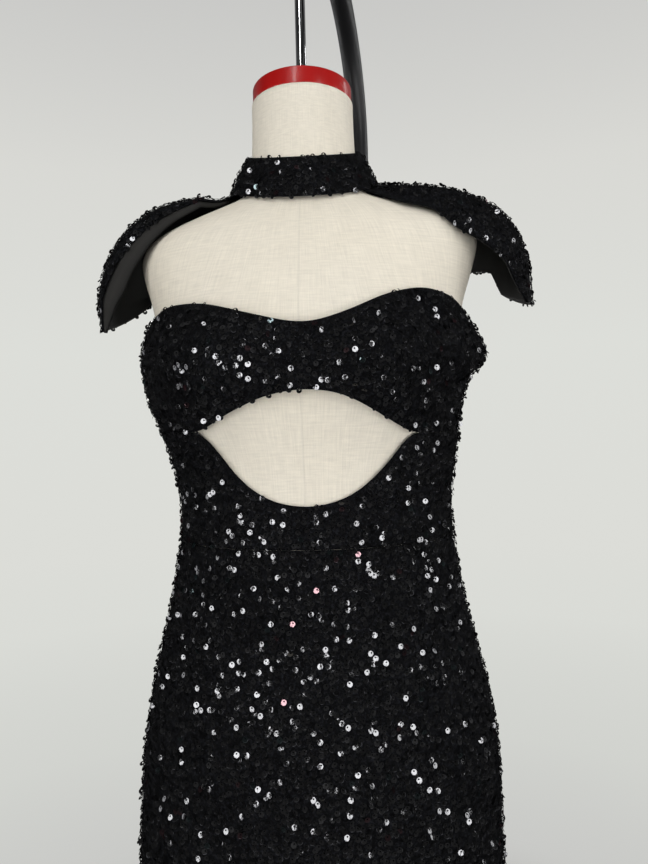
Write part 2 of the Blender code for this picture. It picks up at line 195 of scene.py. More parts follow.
# A cap's ribs from the collar out: how far each bows, its crest and its two ends, in millimetres.
WING_COLUMNS = "rib bow crest_x crest_y crest_z front_x front_y front_z back_x back_y back_z"
WING_LEFT = Table(
    WING_COLUMNS,
    (1, 1.0, -96, 12, 1381, -94, -36, 1371, -22, 102.5, 1345),
    (2, 1.0, -134, 12, 1376, -124, -43, 1356, -44, 104, 1256.4),
    (3, 1.0, -160, 12, 1363, -146, -45, 1341, -84, 91, 1256.4),
    (4, 1.0, -182, 12, 1340, -165, -45, 1321, -112, 86, 1270),
    (5, 0.85, -197, 10, 1310, -178.5, -44, 1299, -139, 81, 1298),
    (6, 0.6, -203, 8, 1285, -187, -42, 1277, -158, 70, 1308),
    (7, 0.4, -200, 4, 1260, -189, -36, 1252, -171, 56, 1294),
)
WING_RIGHT = Table(
    WING_COLUMNS,
    (1, 1.0, 97, 10, 1386, 91.5, -50.6, 1356, 22, 102.5, 1345),
    (2, 1.0, 130, 12, 1384, 116, -50, 1350, 44, 104, 1256.4),
    (3, 1.0, 160, 12, 1376, 140, -50, 1331, 84, 91, 1256.4),
    (4, 1.0, 186, 12, 1361, 160, -48, 1319, 114, 87, 1272),
    (5, 0.85, 206, 10, 1334, 180, -44, 1303, 150, 84, 1318),
    (6, 0.6, 214, 6, 1305, 190, -40, 1285, 184, 68, 1322),
    (7, 0.4, 215, 4, 1271, 203, -30, 1267, 198, 52, 1292),
)
WING_CUTS = Table(
    "node width length area",
    ("wing_left", 0.30, 0.22, 0.0409),
    ("wing_right", 0.31, 0.23, 0.0442),
    ("wing_lining_left", 0.28, 0.20, 0.0345),
    ("wing_lining_right", 0.26, 0.20, 0.0320),
)
# Where a cap leaves the collar, in degrees round from centre front, and how steeply it falls.
LEFT_ROOT = dict(front=-78, back=-178, fall=1.6)
RIGHT_ROOT = dict(front=58, back=178, fall=1.0)
# The collar's lower edge: its radius and what that gains at the sides, height, slope and centre.
COLLAR_EDGE = dict(radius=64.5, flare=6, height=1391, tilt=0.48, centre=4)
SEAM = 0.5      # from the collar's lower edge down to the caps
RIBS = 7
RIB_STEP = 0.02
WING_ROWS = 48
# The left cap's facing rolls out below its front edge by so much, rib by rib.
FACING_ROLL = Table("rib roll", (0.35, 1.5), (1, 4.5), (2, 8), (3, 12), (4, 15), (5, 15.5),
                    (6, 11), (7, 2))
# A lining's first rib and its places along the ribs, where -1 is the cap's front edge.
LINING_START = dict(left=0.35, right=1)
FACING_START = dict(left=-1.4, right=-1.0)
FACING_END, ROLL_END, LINING_END = -1.2, -0.6, 0.95
LINING_GAP = 0.6 * MM
FOLD_OUT = 1.05     # how far the facing's fold stands out, as a share of its roll

POLE_PLACE = Vector((57, 303, 0)) * MM
TUBE_RADIUS = 13.3 * MM
SOCKET_GAP = 0.3 * MM
BEND_START = 1560 * MM
TUBE_END = 1597 * MM
TUBE_MOUTH = 12 * MM


# ---- settings
def size(name, about, default, unit="LENGTH"):
    return FloatProperty(name=name, description=about, default=default, unit=unit)


def share(name, about, default):
    return FloatProperty(name=name, description=about, default=default, subtype="FACTOR",
                         min=0, max=1)


def turn(name, about, default):
    return FloatProperty(name=name, description=about, default=math.radians(default),
                         subtype="ANGLE")


def paint(name, about, default):
    return FloatVectorProperty(name=name, description=about, default=default, subtype="COLOR",
                               size=3, min=0, max=1)


class GownClothSettings(bpy.types.PropertyGroup):
    wall: size("Wall", "Thickness of the velvet that the sequins are sewn to", 1.2 * MM)
    lining_wall: size("Lining wall", "Thickness of the caps' lining", 0.8 * MM)
    velvet: paint("Velvet", "Colour of the base cloth", (0.0026, 0.0027, 0.0033))
    lining: paint("Lining", "Colour of the lining inside the caps", (0.046, 0.046, 0.045))
    facing: paint("Facing", "Colour of the facing along a cap's front edge", (0.027, 0.026, 0.024))


class GownSequinSettings(bpy.types.PropertyGroup):
    radius: size("Radius", "Radius of one sequin", 2.45 * MM)
    hole: size("Hole", "Radius of the hole it is sewn through", 1.1 * MM)
    hole_up: size("Hole above middle", "How far the hole lies above the sequin's middle", 0.9 * MM)
    cup: size("Cup", "Depth of the sequin's dish", 0.02 * MM)
    spacing: size("Spacing", "Least distance between two sequins", 3.6 * MM)
    stand: size("Stand", "Height of the sequins over the velvet", 0.75 * MM)
    tilt: turn("Tilt", "Usual tilt of a sequin out of the cloth", 16)
    loose: share("Loose", "Share of the sequins that hang loose and tilt twice as far", 0.25)
    spin: turn("Spin", "Usual turn of a sequin about its thread", 50)
    seed: IntProperty(name="Seed", description="Choice of the sequins' places", default=7)


class DressFormSettings(bpy.types.PropertyGroup):
    linen: paint("Linen", "Colour of the form's linen", (0.80, 0.75, 0.65))
    thread: size("Thread", "Distance between two threads of the linen", 1.1 * MM)
    seam_width: size("Seam", "Half width of the groove along the linen's seams", 0.7 * MM)
    cap_colour: paint("Cap", "Colour of the neck's cap", (0.42, 0.006, 0.005))


class StageSettings(bpy.types.PropertyGroup):
    floor: paint("Floor", "Colour of the floor round the stand", (0.74, 0.73, 0.70))
    fade_from: size("Fade from", "Distance at which the floor begins to fade out", 0.9)
    fade_to: size("Fade to", "Distance at which the floor has turned into backdrop", 1.3)
    room_light: share("Room light", "Strength of the room's own uneven light", 0.045)
    wall_light: share("Wall light", "Strength of the light from the wall behind", 0.12)
    eye: FloatVectorProperty(name="Eye", description="Where the camera stands", size=3,
                             default=(0.0460, -0.6285, 1.154), subtype="TRANSLATION")
    heading: turn("Heading", "The camera's turn to the left of straight ahead", 3.0)
    roll: turn("Roll", "The camera's tilt to its side", 1.45)
    lens: FloatProperty(name="Lens", description="Focal length in millimetres", default=27.04)


# ---- working by hand
def only(*chosen):
    """Select these objects and nothing else."""
    bpy.ops.object.select_all(action="DESELECT")
    for piece in chosen:
        piece.select_set(True)
    bpy.context.view_layer.objects.active = chosen[0]


class editing:
    """Edit mode on one object, by its faces, with none or all of them selected at first."""

    def __init__(self, piece, action="DESELECT"):
        self.piece, self.action = piece, action

    def __enter__(self):
        only(self.piece)
        bpy.ops.object.mode_set(mode="EDIT")
        bpy.ops.mesh.select_mode(type="FACE")
        bpy.ops.mesh.select_all(action=self.action)

    def __exit__(self, *problem):
        bpy.ops.object.mode_set(mode="OBJECT")


def pick(piece, wanted, kind="polygons"):
    """Select, in edit mode, the faces, edges or corners that a test accepts."""
    bpy.ops.object.mode_set(mode="OBJECT")
    for item in getattr(piece.data, kind):
        item.select = bool(wanted(item))
    bpy.ops.object.mode_set(mode="EDIT")


def finish_with(piece, kind, **values):
    """Add a modifier, set it and apply it."""
    only(piece)
    step = piece.modifiers.new(kind.lower(), kind)
    for name, value in values.items():
        setattr(step, name, value)
    bpy.ops.object.modifier_apply(modifier=step.name)


def smooth(piece, angle=40):
    only(piece)
    bpy.ops.object.shade_smooth_by_angle(angle=math.radians(angle))


def settle(piece, finish, slot, *stands_for):
    """Give a finished piece its material, its place on the body and the solids it stands for."""
    only(piece)
    bpy.ops.object.transform_apply(location=True, rotation=True, scale=True)
    piece.data.materials.clear()
    piece.data.materials.append(finish)
    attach(piece, "root")
    if stands_for:
        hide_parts(*stands_for)


def number(piece, name, value):
    """Keep a number for each corner of a mesh, as an attribute."""
    held = piece.data.attributes.new(name, "FLOAT", "POINT")
    held.data.foreach_set("value", [value(corner) for corner in piece.data.vertices])


def body_angle(place):
    """Degrees round the body from centre front."""
    return math.degrees(math.atan2(place.x, -place.y))


def half_turn(angle):
    """The same angle between -180 and 180 degrees."""
    return (angle + 180) % 360 - 180


def add_object(name, data):
    piece = bpy.data.objects.new(name, data)
    bpy.context.scene.collection.objects.link(piece)
    return piece


def named(name):
    """The primitive just added, under its own name."""
    piece = bpy.context.object
    piece.name = piece.data.name = name
    return piece


def join_doubles(piece):
    with editing(piece, "SELECT"):
        bpy.ops.mesh.remove_doubles(threshold=0.01 * MM)


def copied_solid(node, name):
    """A solid's own mesh, joined up, as a piece to work on."""
    piece = add_object(name, SOLIDS[node].data.copy())
    join_doubles(piece)
    return piece


def cylinder(node, name, sides):
    """An upright cylinder as big as its solid."""
    low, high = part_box(node)
    bpy.ops.mesh.primitive_cylinder_add(vertices=sides, radius=(high.x - low.x) / 2,
                                        depth=high.z - low.z, location=(low + high) / 2)
    return named(name)


# ---- nodes and shared shader groups
def wire(tree, kind, values=(), **settings):
    """Add a node, set it up, and give its inputs their values or their links."""
    node = tree.nodes.new(kind)
    for name, value in settings.items():
        setattr(node, name, value)
    for label, value in dict(values).items():
        if isinstance(value, bpy.types.NodeSocket):
            tree.links.new(value, node.inputs[label])
        else:
            node.inputs[label].default_value = value
    return node


def maths(tree, operation, *values):
    return wire(tree, "ShaderNodeMath", enumerate(values), operation=operation).outputs[0]


def ramp(tree, factor, stops, steps="LINEAR"):
    """Colours laid out along a factor, each at its own place."""
    node = wire(tree, "ShaderNodeValToRGB", {"Fac": factor})
    node.color_ramp.interpolation = steps
    for _ in stops[2:]:
        node.color_ramp.elements.new(0.5)
    for element, (place, colour) in zip(node.color_ramp.elements, stops):
        element.position, element.color = place, (*colour, 1)
    return node.outputs["Color"]


def new_group(name, numbers, *results):
    """A node group that reads a place and these numbers, and what its inside is wired to."""
    group = bpy.data.node_groups.new(name, "ShaderNodeTree")
    group.interface.new_socket("Vector", in_out="INPUT", socket_type="NodeSocketVector")
    for label, default in numbers.items():
        socket = group.interface.new_socket(label, in_out="INPUT", socket_type="NodeSocketFloat")
        socket.default_value = default
    for label in results:
        group.interface.new_socket(label, in_out="OUTPUT", socket_type="NodeSocketFloat")
    given, result = group.nodes.new("NodeGroupInput"), group.nodes.new("NodeGroupOutput")
    return group, given.outputs, result.inputs


def weave_group():
    """Threads over and under: a height, and a shade that changes from thread to thread."""
    group, given, result = new_group("woven threads", {"Thread": 0.001, "Slub": 0.5},
                                     "Height", "Shade")
    parts = wire(group, "ShaderNodeSeparateXYZ", {0: given["Vector"]}).outputs
    waves, slubs = [], []
    for axis in (0, 1):
        place = maths(group, "DIVIDE", parts[axis], given["Thread"])
        waves.append(maths(group, "SINE", maths(group, "MULTIPLY", place, 2 * math.pi)))
        stretch = wire(group, "ShaderNodeCombineXYZ",
                       {0: parts[axis], 1: maths(group, "MULTIPLY", parts[1 - axis], 0.07),
                        2: axis * 3.7})
        noise = wire(group, "ShaderNodeTexNoise",
                     {"Vector": stretch.outputs[0], "Scale": 640, "Detail": 2})
        slubs.append(noise.outputs["Fac"])
    crossed = maths(group, "MULTIPLY", *waves)
    uneven = maths(group, "SUBTRACT", maths(group, "ADD", *slubs), 1.0)
    uneven = maths(group, "MULTIPLY", uneven, given["Slub"])
    group.links.new(maths(group, "MULTIPLY_ADD", crossed, 0.25,
                          maths(group, "ADD", uneven, 0.5)), result["Height"])
    group.links.new(maths(group, "MULTIPLY_ADD", crossed, 0.08,
                          maths(group, "ADD", uneven, 0.5)), result["Shade"])
    return group


def cloud_group():
    """Soft uneven patches."""
    group, given, result = new_group("soft patches", {"Scale": 8.0}, "Factor")
    noise = wire(group, "ShaderNodeTexNoise",
                 {"Vector": given["Vector"], "Scale": given["Scale"], "Detail": 3})
    group.links.new(noise.outputs["Fac"], result["Factor"])
    return group


def grain_group():
    """Fine pile or orange peel: a height that changes quickly."""
    group, given, result = new_group("fine grain", {"Scale": 1500.0}, "Height")
    cells = wire(group, "ShaderNodeTexVoronoi",
                 {"Vector": given["Vector"], "Scale": given["Scale"]}, feature="F1")
    group.links.new(cells.outputs["Distance"], result["Height"])
    return group


class Finish:
    """A material under construction: a Principled shader and what feeds it."""

    def __init__(self, name, colour, roughness, **sockets):
        self.material = bpy.data.materials.new(name)
        self.material.use_nodes = True
        self.tree = self.material.node_tree
        self.shader = self.tree.nodes["Principled BSDF"]
        self.shader.inputs["Base Color"].default_value = (*colour, 1)
        self.shader.inputs["Roughness"].default_value = roughness
        for label, value in sockets.items():
            self.shader.inputs[label.replace("_", " ")].default_value = value

    def source(self, kind="Object"):
        return wire(self.tree, "ShaderNodeTexCoord").outputs[kind]

    def attribute(self, name):
        return wire(self.tree, "ShaderNodeAttribute", attribute_name=name).outputs["Fac"]

    def maths(self, operation, *values):
        return maths(self.tree, operation, *values)

    def group(self, name, make, vector, **values):
        """Place a shared group, which is built where it is first needed."""
        return wire(self.tree, "ShaderNodeGroup", {"Vector": vector, **values},
                    node_tree=bpy.data.node_groups.get(name) or make()).outputs

    def weave(self, vector, thread, slub):
        return self.group("woven threads", weave_group, vector, Thread=thread, Slub=slub)

    def patches(self, scale):
        return self.group("soft patches", cloud_group, self.source(), Scale=scale)["Factor"]

    def grain(self, scale):
        return self.group("fine grain", grain_group, self.source(), Scale=scale)["Height"]

    def ramp(self, factor, *stops, steps="LINEAR"):
        return ramp(self.tree, factor, stops, steps)

    def mix(self, factor, first, second, blend="MIX"):
        first, second = [(*colour, 1) if isinstance(colour, tuple) else colour
                         for colour in (first, second)]
        return wire(self.tree, "ShaderNodeMix", {"Factor": factor, "A": first, "B": second},
                    data_type="RGBA", blend_type=blend).outputs["Result"]

    def feed(self, label, value):
        self.tree.links.new(value, self.shader.inputs[label])

    def bump(self, height, distance, strength=1.0):
        node = wire(self.tree, "ShaderNodeBump",
                    {"Height": height, "Distance": distance, "Strength": strength})
        self.feed("Normal", node.outputs["Normal"])


def once(name, make):
    """A material by its name, made where it is first needed."""
    return bpy.data.materials.get(name) or make(name)


def toned(colour, times):
    """A colour made darker, or lighter where the number is over 1."""
    return tuple(times * part for part in colour)


# The velvet's pile: where its patches change, and its colour's share there; the palest is a
# painted glint.
PILE_TONES_AND_GLINTS = ((0.38, 0.5), (0.50, 1.2), (0.66, 4.6))


def velvet_finish(name):
    """Velvet, nearly black, with uneven tone and pale flecks painted into its colour as glints on
    its pile.
    """
    colour = tuple(bpy.context.scene.gown_cloth.velvet)
    finish = Finish(name, colour, 0.85, Specular_IOR_Level=0.08)
    tones = [(place, toned(colour, times)) for place, times in PILE_TONES_AND_GLINTS]
    # Painted highlight: the palest patches stand for glints of light on the pile.
    finish.feed("Base Color", finish.ramp(finish.patches(520.0), *tones))
    finish.bump(finish.grain(1400.0), 0.0006)
    return finish.material


BLACK_SEQUIN = (0.062, 0.062, 0.064)
PLUM_SEQUIN = (0.085, 0.052, 0.057)
TEAL_SEQUIN = (0.050, 0.064, 0.066)
# A sequin's number from 0 to 1 gives its tint: black, unless it falls in one of two short spans.
TINTS = ((0.0, BLACK_SEQUIN), (0.97, PLUM_SEQUIN), (0.982, TEAL_SEQUIN), (0.99, BLACK_SEQUIN))
FOIL_METAL = 0.90
# Painted highlight: the paler colour given to parts of a sequin's rim, for light caught on it.
RIM_HIGHLIGHT_COLOUR = (0.070, 0.071, 0.080)
NONE, FULL = (0, 0, 0), (1, 1, 1)


def sequin_finish(name):
    """Black glossy foil. Its rim is painted paler in places as a highlight, and a few sequins are
    tinted.
    """
    finish = Finish(name, BLACK_SEQUIN, 0.06, Specular_Tint=(0, 0, 0, 1),
                    Specular_IOR_Level=0.0)
    foil = finish.ramp(finish.attribute("tint"), *TINTS, steps="CONSTANT")
    patch = finish.patches(330.0)
    # Painted highlight: in random patches the rim is painted paler and less metallic, as light on
    # its edge.
    rim = finish.ramp(finish.attribute("rim"), (0.72, NONE), (0.84, FULL))
    rim_highlight_patches = finish.ramp(patch, (0.50, NONE), (0.70, FULL))
    edge = finish.mix(1.0, rim, rim_highlight_patches, "MULTIPLY")
    finish.feed("Base Color", finish.mix(edge, foil, RIM_HIGHLIGHT_COLOUR))
    finish.feed("Metallic", finish.maths("MULTIPLY_ADD", edge, -FOIL_METAL, FOIL_METAL))
    finish.bump(patch, 0.0004, 0.2)
    return finish.material


def lining_finish(name):
    """A satin lining: the facing along a cap's front edge, painted shade at its fold, and the
    lining itself.
    """
    chosen = bpy.context.scene.gown_cloth
    lining, facing = tuple(chosen.lining), tuple(chosen.facing)
    finish = Finish(name, lining, 0.55, Specular_IOR_Level=0.12)
    painted_fold_shade = toned(lining, 0.16)
    across = finish.maths("ADD", finish.attribute("along"), -FACING_START["left"])
    # Painted shading: the dark tone is shade at the fold and behind the roll; the facing is
    # lighter mid-roll.
    fold = finish.ramp(across, (0.0, painted_fold_shade), (0.03, toned(facing, 0.8)), (0.10, facing),
                       (0.17, toned(facing, 0.7)), (0.21, painted_fold_shade), (0.30, painted_fold_shade), (0.50, lining))
    finish.feed("Base Color",
                finish.mix(finish.patches(30.0), fold, finish.mix(0.35, fold, NONE)))
    finish.bump(finish.weave(finish.source(), 0.0008, 0.4)["Height"], 0.00015, 0.5)
    return finish.material


LINEN_WARMTH = (0.98, 0.95, 0.88)


def linen_finish(name):
    """Linen with uneven threads both ways and a faint groove along its seams."""
    chosen = bpy.context.scene.dress_form
    colour = tuple(chosen.linen)
    finish = Finish(name, colour, 0.9, Specular_IOR_Level=0.1)
    threads = finish.weave(finish.source("UV"), chosen.thread, 1.1)
    woven = finish.mix(threads["Shade"], toned(colour, 0.87), toned(colour, 1.08))
    warm = finish.mix(0.6, woven, LINEN_WARMTH, "MULTIPLY")
    cloth = finish.mix(finish.patches(9.0), woven, warm)
    away = finish.maths("DIVIDE", finish.attribute("from_seam"), 2 * chosen.seam_width)
    near = finish.maths("SUBTRACT", 1.0, finish.maths("MINIMUM", away, 1.0))
    finish.feed("Base Color",
                finish.mix(finish.maths("MULTIPLY", near, 0.14), cloth, toned(colour, 0.5)))
    finish.bump(finish.maths("MULTIPLY_ADD", near, -1.2, threads["Height"]), 0.0002, 0.6)
    return finish.material


def lacquer_finish(name):
    colour = tuple(bpy.context.scene.dress_form.cap_colour)
    finish = Finish(name, colour, 0.35, Specular_IOR_Level=0.3, Coat_Weight=0.25,
                    Coat_Roughness=0.15)
    finish.feed("Base Color", finish.mix(finish.patches(40.0), colour, toned(colour, 0.7)))
    finish.bump(finish.grain(500.0), 0.0001, 0.25)
    return finish.material


def chrome_finish(name):
    finish = Finish(name, (0.34, 0.35, 0.37), 0.1, Metallic=1.0)
    finish.feed("Roughness", finish.maths("MULTIPLY_ADD", finish.patches(90.0), 0.05, 0.05))
    return finish.material


def steel_finish(name):
    finish = Finish(name, (0.008, 0.008, 0.009), 0.4, Specular_IOR_Level=0.5)
    finish.feed("Roughness", finish.maths("MULTIPLY_ADD", finish.patches(25.0), 0.2, 0.32))
    finish.bump(finish.grain(900.0), 0.00008, 0.4)
    return finish.material


FLOOR_UNSEEN = (0.10, 0.10, 0.10)
FLOOR_REACH = 6.0
# The floor's glow by its share of that reach, and the wall's by the height of the line of sight.
FLOOR_TONES = ((0.15, (0.55, 0.55, 0.54)), (0.32, (0.64, 0.65, 0.62)),
               (0.60, (0.70, 0.71, 0.675)), (1.0, (0.715, 0.72, 0.685)))
WALL_TONES = ((0.42, (0.715, 0.72, 0.685)), (0.56, (0.72, 0.73, 0.695)),
              (0.68, (0.69, 0.69, 0.66)), (0.80, (0.56, 0.56, 0.55)))


def floor_finish(name):
    """A pale floor that turns into backdrop further out. Only the camera sees it pale."""
    chosen = bpy.context.scene.gown_stage
    floor = tuple(chosen.floor)
    finish = Finish(name, floor, 0.9, Specular_IOR_Level=0.1)
    tree = finish.tree
    seen = wire(tree, "ShaderNodeLightPath").outputs["Is Camera Ray"]
    pale = finish.mix(finish.patches(0.8), toned(floor, 0.97), floor)
    finish.feed("Base Color", finish.mix(seen, FLOOR_UNSEEN, pale))
    away = wire(tree, "ShaderNodeVectorMath", {0: finish.source()},
                operation="LENGTH").outputs["Value"]
    fade = wire(tree, "ShaderNodeMapRange",
                {"Value": away, "From Min": chosen.fade_from, "From Max": chosen.fade_to},
                interpolation_type="SMOOTHSTEP").outputs["Result"]
    tone = finish.ramp(finish.maths("DIVIDE", away, FLOOR_REACH), *FLOOR_TONES)
    glow = wire(tree, "ShaderNodeEmission", {"Color": tone})
    both = wire(tree, "ShaderNodeMixShader", {0: finish.maths("MULTIPLY", fade, seen),
                                              1: finish.shader.outputs[0], 2: glow.outputs[0]})
    tree.links.new(both.outputs[0], tree.nodes["Material Output"].inputs["Surface"])
    return finish.material


def room_world():
    """The room: a pale backdrop to the camera, and a weak uneven light to everything else."""
    chosen = bpy.context.scene.gown_stage
    world = bpy.data.worlds.new("soft room")
    world.use_nodes = True
    tree = world.node_tree
    way = wire(tree, "ShaderNodeTexCoord").outputs["Generated"]
    clutter = wire(tree, "ShaderNodeTexNoise", {"Vector": way, "Scale": 3.5, "Detail": 3})
    spots = maths(tree, "POWER", maths(tree, "MULTIPLY", clutter.outputs["Fac"], 1.9), 7.0)
    parts = wire(tree, "ShaderNodeSeparateXYZ", {0: way}).outputs
    behind = wire(tree, "ShaderNodeMapRange",
                  {"Value": parts[1], "From Max": 0.5, "To Max": chosen.wall_light},
                  interpolation_type="SMOOTHSTEP").outputs["Result"]
    weak = tree.nodes["Background"]
    weak.inputs["Color"].default_value = (1, 1, 1, 1)
    tree.links.new(maths(tree, "MULTIPLY_ADD", spots, chosen.room_light, behind),
                   weak.inputs["Strength"])
    tone = ramp(tree, maths(tree, "MULTIPLY_ADD", parts[2], 0.5, 0.5), WALL_TONES)
    seen = wire(tree, "ShaderNodeBackground", {"Color": tone})
    path = wire(tree, "ShaderNodeLightPath").outputs["Is Camera Ray"]
    both = wire(tree, "ShaderNodeMixShader", {0: path, 1: weak.outputs[0], 2: seen.outputs[0]})
    tree.links.new(both.outputs[0], tree.nodes["World Output"].inputs["Surface"])
    return world


# ---- cloth
NARROW_FACE = 4 * MM * MM           # a face of a solid's cut edge is smaller than this
SHARP_EDGE = math.radians(62)       # the outer face ends where the solid turns more than this


def outer_face(node, ahead, name):
    """The outer face of a cloth solid, alone, as a sheet of four-sided faces."""
    sheet = copied_solid(node, name)
    facing = [face for face in sheet.data.polygons
              if face.normal.dot(ahead) > 0.5 and face.area > NARROW_FACE]
    furthest = max(facing, key=lambda face: face.center.dot(ahead)).index
    with editing(sheet):
        pick(sheet, lambda face: face.index == furthest)
        bpy.ops.mesh.faces_select_linked_flat(sharpness=SHARP_EDGE)
        bpy.ops.mesh.select_all(action="INVERT")
        bpy.ops.mesh.delete(type="FACE")
        bpy.ops.mesh.select_all(action="SELECT")
        bpy.ops.mesh.tris_convert_to_quads(face_threshold=math.radians(60),
                                           shape_threshold=math.radians(90))
    return sheet


def crease(piece):
    """Press the body's creases into a sheet, along its own normals."""
    moves = []
    for corner in piece.data.vertices:
        angle, reach = body_angle(corner.co), corner.co.xy.length
        move = 0.0
        for row in CREASES:
            away = math.radians(half_turn(angle - row["angle"])) * reach / MM
            up = corner.co.z / MM - row["height"]
            tilt = math.radians(row["tilt"])
            along = away * math.cos(tilt) + up * math.sin(tilt)
            across = up * math.cos(tilt) - away * math.sin(tilt)
            if abs(along) < row["reach"] and abs(across) < 3 * row["width"]:
                fade = (1 - (along / row["reach"]) ** 2) ** 2
                move += row["depth"] * fade * math.exp(-(across / row["width"]) ** 2)
        moves.append(corner.normal * move * MM)
    for corner, move in zip(piece.data.vertices, moves):
        corner.co += move


def free_edge_distance(piece, node):
    """How far each corner is from the sheet's free edges: those not sewn to another piece."""
    counts = {}
    for face in piece.data.polygons:
        for key in face.edge_keys:
            counts[key] = counts.get(key, 0) + 1
    ends = {index for key, uses in counts.items() if uses == 1 for index in key}
    others = [solid_tree(other) for other in SEQUINNED if other != node]
    free = [place for place in (piece.data.vertices[index].co for index in ends)
            if not any(tree.find_nearest(place, SEWN)[0] for tree in others)]
    tree = KDTree(len(free))
    for index, place in enumerate(free):
        tree.insert(place, index)
    tree.balance()
    return [tree.find(corner.co)[2] if free else 1.0 for corner in piece.data.vertices]


SOLID_TREES = {}


def solid_tree(node):
    if node not in SOLID_TREES:
        mesh = SOLIDS[node].data
        SOLID_TREES[node] = BVHTree.FromPolygons([corner.co for corner in mesh.vertices],
                                                 [face.vertices for face in mesh.polygons])
    return SOLID_TREES[node]


def sewn_sheet(sheet, node, wall, finish, slot, cut):
    """Finish a sheet as cloth with its own wall. The cut's sizes are looked up but not used."""
    finish_with(sheet, "SOLIDIFY", thickness=wall, offset=-1)
    bpy.ops.object.shade_smooth()
    settle(sheet, finish, slot, node)
    cut["width"]
    cut["length"]
    cut["area"]


def rib_point(wing, rib, along):
    """A point of a cap's rib: along runs from the front edge (-1) over the crest (0) to 1."""
    crest = Vector([wing.read("crest_" + axis, rib) for axis in "xyz"])
    side = "front_" if along < 0 else "back_"
    edge = Vector([wing.read(side + axis, rib) for axis in "xyz"])
    bow = wing.read("bow", rib)
    straight = abs(along) * (1 - bow)
    turned = abs(along) * math.pi / 2
    reach = edge - crest
    fall = straight + bow * (1 - math.cos(turned))
    level = straight + bow * math.sin(turned)
    return crest + Vector((reach.x * fall, reach.y * level, reach.z * fall))


def wing_point(side, rib, along):
    """A point of a shoulder cap, in metres: rib 0 is the collar's lower edge."""
    wing, start = (WING_LEFT, LEFT_ROOT) if side == "left" else (WING_RIGHT, RIGHT_ROOT)
    if rib >= 1:
        return rib_point(wing, rib, along) * MM
    angle = math.radians(start["front"] + (start["back"] - start["front"]) * (along + 1) / 2)
    radius = COLLAR_EDGE["radius"] + COLLAR_EDGE["flare"] * math.sin(angle) ** 2
    y = COLLAR_EDGE["centre"] - math.cos(angle) * radius
    root = Vector((math.sin(angle) * radius, y,
                   COLLAR_EDGE["height"] + COLLAR_EDGE["tilt"] * y - SEAM))
    reach = rib_point(wing, 1, along) - root
    out, down = rib ** start["fall"], 1 - (1 - rib) ** start["fall"]
    return (root + Vector((reach.x * out, reach.y * out, reach.z * down))) * MM


def wing_sheet(side, name, first_rib, front, back, point, columns=48):
    """A grid laid over a cap's ribs, from one rib and between two places along them."""
    bpy.ops.mesh.primitive_grid_add(x_subdivisions=columns, y_subdivisions=WING_ROWS, size=2)
    sheet = named(name)
    number(sheet, "along", lambda corner: front + (back - front) * (corner.co.x + 1) / 2)
    for corner, along in zip(sheet.data.vertices, sheet.data.attributes["along"].data):
        rib = first_rib + (RIBS - first_rib) * (corner.co.y + 1) / 2
        corner.co = point(side, rib, along.value)
    if side == "right":
        with editing(sheet, "SELECT"):
            bpy.ops.mesh.flip_normals()
    return sheet


def inner_point(side, rib, along, depth):
    """A point inside a shoulder cap, this deep under its outer face."""
    here = wing_point(side, rib, along)
    back = wing_point(side, rib, along + RIB_STEP) - here
    down = wing_point(side, rib + RIB_STEP, along) - wing_point(side, rib - RIB_STEP, along)
    outward = back.cross(down) if side == "left" else down.cross(back)
    return here - outward.normalized() * depth


def lining_point(side, rib, along, depth):
    """A point of a cap's lining. Before -1 it is the facing, rolled out below the front edge."""
    rib = min(rib, RIBS - RIB_STEP)
    if side == "right" or along >= ROLL_END:
        return inner_point(side, rib, along, depth)
    seam = inner_point(side, rib, -1, depth)
    fall = WING_LEFT.read("front_x", rib) - WING_LEFT.read("crest_x", rib)
    drop = WING_LEFT.read("front_z", rib) - WING_LEFT.read("crest_z", rib)
    roll = Vector((fall, 0, drop)).normalized() * FACING_ROLL.read("roll", rib) * MM
    if along < FACING_END:
        return seam + roll * (along - FACING_START[side]) / (FACING_END - FACING_START[side])
    t = (along - FACING_END) / (ROLL_END - FACING_END)
    fold = seam + FOLD_OUT * roll + Vector((0, roll.length / 2, 0))
    end = inner_point(side, rib, ROLL_END, depth)
    return (seam + roll) * (1 - t) ** 2 + fold * 2 * t * (1 - t) + end * t * t


class GOWN_OT_cloth(bpy.types.Operator):
    """Lay the velvet of the bodice, skirt and collar on their solids"""
    bl_idname = "gown.cloth"
    bl_label = "Sew the Cloth"

    def execute(self, context):
        chosen = context.scene.gown_cloth
        velvet = once("black velvet", velvet_finish)
        for cut in PANELS:
            ahead = Vector((cut["ahead_x"], cut["ahead_y"], cut["ahead_z"])).normalized()
            sheet = outer_face(cut["node"], ahead, cut["node"] + "_cloth")
            finish_with(sheet, "SUBSURF", levels=2, render_levels=2,
                        boundary_smooth="PRESERVE_CORNERS")
            crease(sheet)
            sew_sequins(sheet, cut["node"])
            sewn_sheet(sheet, cut["node"], chosen.wall, velvet, "sequin_cloth", cut)
        return {"FINISHED"}


